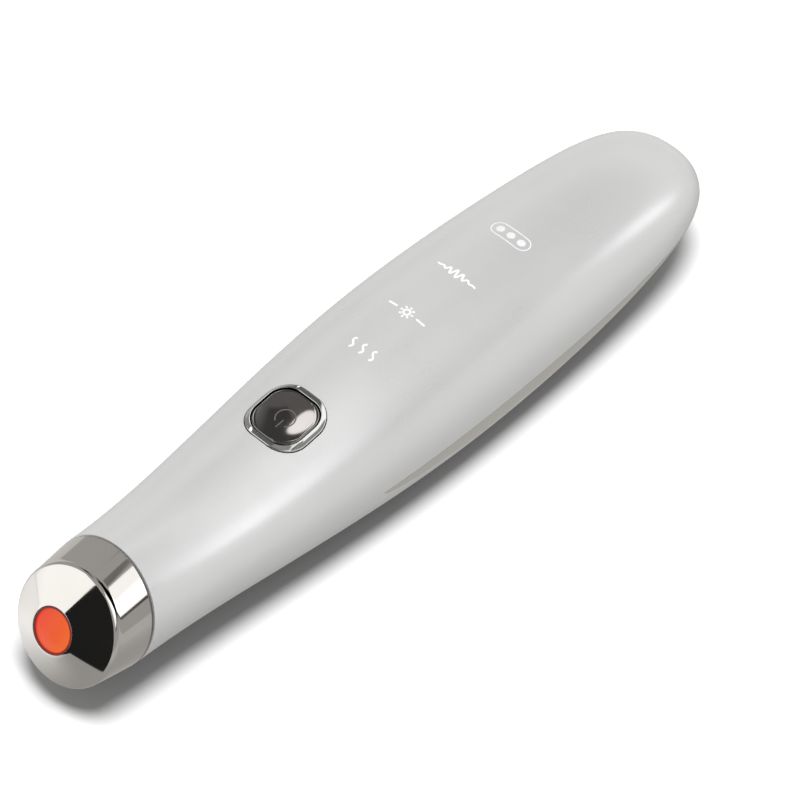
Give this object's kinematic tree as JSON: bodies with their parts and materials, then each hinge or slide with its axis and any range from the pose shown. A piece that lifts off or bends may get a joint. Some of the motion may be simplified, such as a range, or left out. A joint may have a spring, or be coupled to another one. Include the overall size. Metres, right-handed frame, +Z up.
{
  "type": "heated eye massager wand",
  "caption": "Hand-held massager wand with a tilted heated metal head, a red light in its tip, a square push button and a trim strip round its tail.",
  "frame": {"origin": "centre of the wand's box, on the plane of the flat that it rests on", "axes": "+X from the head to the tail, +Z up out of the back with the button, +Y across"},
  "size_m": [0.1384, 0.0292, 0.0251],
  "materials": {
    "pearl_shell": "satin pearl",
    "satin_trim": "warm grey plating",
    "polished_head": "polished and plated",
    "dark_rubber": "matte",
    "red_lens": "clear red, lit",
    "dark_red_rubber": "matte",
    "heater_film": "etched",
    "black_plastic": "moulded",
    "circuit_board": "solder mask",
    "red_diode": "clear epoxy",
    "motor_steel": "brushed",
    "bush_brass": "sintered",
    "bright_rim": "polished",
    "smoked_button": "plated dark",
    "white_diode": "moulded",
    "clear_film": "frosted",
    "cell_sleeve": "shrink sleeve",
    "port_steel": "plated",
    "red_wire": "insulated",
    "blue_wire": "insulated",
    "black_wire": "insulated"
  },
  "bodies": {
    "wand": {"upper_shell": "pearl_shell", "lower_shell": "pearl_shell", "trim_strip": "satin_trim", "head_cap": "polished_head", "head_seal": "dark_rubber", "lens": "red_lens", "lens_seal": "dark_red_rubber", "heater_disc": "heater_film", "temperature_sensor": "black_plastic", "led_board": "circuit_board", "red_led": "red_diode", "head_carrier": "black_plastic", "motor_can": "motor_steel", "motor_bushes": "bush_brass", "motor_sleeve": "dark_rubber", "button_bezel": "bright_rim", "tact_switch": "black_plastic", "main_board": "circuit_board", "control_chips": "black_plastic", "mode_leds": "white_diode", "charge_leds": "white_diode", "icon_light_mask": "black_plastic", "charge_light_mask": "black_plastic", "diffuser_film": "clear_film", "board_screws": "motor_steel", "battery_cell": "cell_sleeve", "battery_pads": "dark_rubber", "port_board": "circuit_board", "charge_port": "port_steel", "head_wires": "red_wire", "motor_wires": "blue_wire", "battery_wires": "red_wire", "port_wires": "black_wire"},
    "button": {"button_cap": "smoked_button", "switch_plunger": "black_plastic"},
    "rotor": {"motor_shaft": "motor_steel", "eccentric_weight": "motor_steel"}
  },
  "joints": [
    {"name": "button_press", "type": "slide", "parent": "wand", "child": "button", "axis": [0, 0, -1], "range_m": [0, 0.0004], "stiffness_N_per_m": 2000, "springref_m": -0.0004},
    {"name": "motor_spin", "type": "hinge", "parent": "wand", "child": "rotor", "pos_m": [-0.04281, 0, 0.01167], "axis": [1, 0, 0], "continuous": true}
  ]
}
